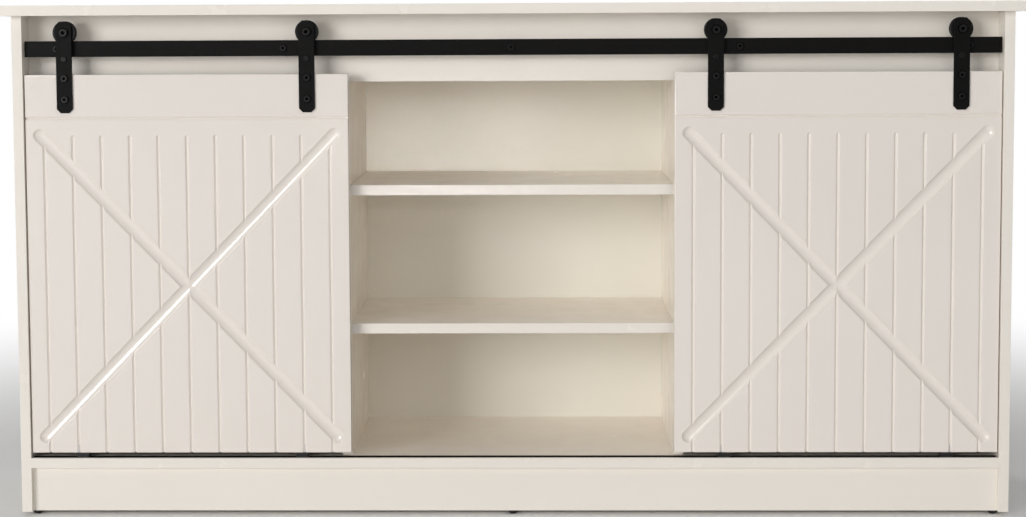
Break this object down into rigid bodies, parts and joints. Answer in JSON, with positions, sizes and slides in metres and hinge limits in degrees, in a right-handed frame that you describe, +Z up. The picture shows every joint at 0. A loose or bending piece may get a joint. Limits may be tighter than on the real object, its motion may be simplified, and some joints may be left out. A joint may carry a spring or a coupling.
{
  "type": "tv stand",
  "caption": "Low TV stand with an open shelved middle between two grooved barn-style doors that slide on wheels along a flat top rail.",
  "frame": {"origin": "on the floor, under the centre of the top", "axes": "+X along the width to the right, -Y to the front, +Z up"},
  "size_m": [1.6, 0.35, 0.81],
  "materials": {
    "laminated_board": "cream-white melamine laminate on particle board, satin",
    "door_leaf": "milled fibreboard in a matt cream-white wrap",
    "back_board": "white-faced hardboard, satin",
    "black_steel": "matt black powder coat",
    "black_screw": "black oxide, satin",
    "wheel_nylon": "black nylon, satin",
    "black_plastic": "moulded, fine texture",
    "zinc_steel": "bright zinc plate",
    "zinc_alloy": "die-cast zinc",
    "beech": "raw beech"
  },
  "bodies": {
    "cabinet": {"top_panel": "laminated_board", "side_panel_left": "laminated_board", "side_panel_right": "laminated_board", "divider_left": "laminated_board", "divider_right": "laminated_board", "bottom_panel": "laminated_board", "header_board": "laminated_board", "plinth_front": "laminated_board", "plinth_rear": "laminated_board", "niche_shelf_upper": "laminated_board", "niche_shelf_lower": "laminated_board", "bay_shelf_left": "laminated_board", "bay_shelf_right": "laminated_board", "back_panel_left": "back_board", "back_panel_centre": "back_board", "back_panel_right": "back_board", "door_rail": "black_steel", "rail_spacers": "black_steel", "rail_screws": "black_screw", "bottom_track": "black_steel", "track_screws": "black_screw", "glide_feet": "black_plastic", "shelf_pins": "zinc_steel", "cam_locks": "zinc_alloy", "cam_bolts": "zinc_steel", "wood_dowels": "beech", "joining_screws": "zinc_steel", "back_panel_nails": "zinc_steel", "plinth_blocks": "beech", "plinth_screws": "zinc_steel"},
    "left_door": {"door_left": "door_leaf", "strap_left_outer": "black_steel", "strap_left_inner": "black_steel", "strap_bolts_left": "black_screw", "strap_nuts_left": "black_screw", "axle_bolts_left": "black_screw", "axle_washers_left": "zinc_steel", "axle_nuts_left": "black_screw", "stop_pins_left": "black_screw", "door_guides_left": "black_plastic", "guide_pins_left": "zinc_steel"},
    "right_door": {"door_right": "door_leaf", "strap_right_outer": "black_steel", "strap_right_inner": "black_steel", "strap_bolts_right": "black_screw", "strap_nuts_right": "black_screw", "axle_bolts_right": "black_screw", "axle_washers_right": "zinc_steel", "axle_nuts_right": "black_screw", "stop_pins_right": "black_screw", "door_guides_right": "black_plastic", "guide_pins_right": "zinc_steel"},
    "left_outer_wheel": {"wheel_left_outer": "wheel_nylon"},
    "left_inner_wheel": {"wheel_left_inner": "wheel_nylon"},
    "right_outer_wheel": {"wheel_right_outer": "wheel_nylon"},
    "right_inner_wheel": {"wheel_right_inner": "wheel_nylon"}
  },
  "joints": [
    {"name": "left_door_slide", "type": "slide", "parent": "cabinet", "child": "left_door", "axis": [1, 0, 0], "range_m": [0, 0.252]},
    {"name": "left_outer_wheel_spin", "type": "hinge", "parent": "left_door", "child": "left_outer_wheel", "pos_m": [-0.7005, -0.144, 0.7675], "axis": [0, 1, 0], "continuous": true},
    {"name": "left_inner_wheel_spin", "type": "hinge", "parent": "left_door", "child": "left_inner_wheel", "pos_m": [-0.3195, -0.144, 0.7675], "axis": [0, 1, 0], "continuous": true},
    {"name": "right_door_slide", "type": "slide", "parent": "cabinet", "child": "right_door", "axis": [-1, 0, 0], "range_m": [0, 0.252]},
    {"name": "right_outer_wheel_spin", "type": "hinge", "parent": "right_door", "child": "right_outer_wheel", "pos_m": [0.7005, -0.144, 0.7675], "axis": [0, 1, 0], "continuous": true},
    {"name": "right_inner_wheel_spin", "type": "hinge", "parent": "right_door", "child": "right_inner_wheel", "pos_m": [0.3195, -0.144, 0.7675], "axis": [0, 1, 0], "continuous": true}
  ],
  "couplings": [
    {"joint": "left_outer_wheel_spin", "follows": "left_door_slide", "rad_per_m": 78.74},
    {"joint": "left_inner_wheel_spin", "follows": "left_door_slide", "rad_per_m": 78.74},
    {"joint": "right_outer_wheel_spin", "follows": "right_door_slide", "rad_per_m": -78.74},
    {"joint": "right_inner_wheel_spin", "follows": "right_door_slide", "rad_per_m": -78.74}
  ]
}
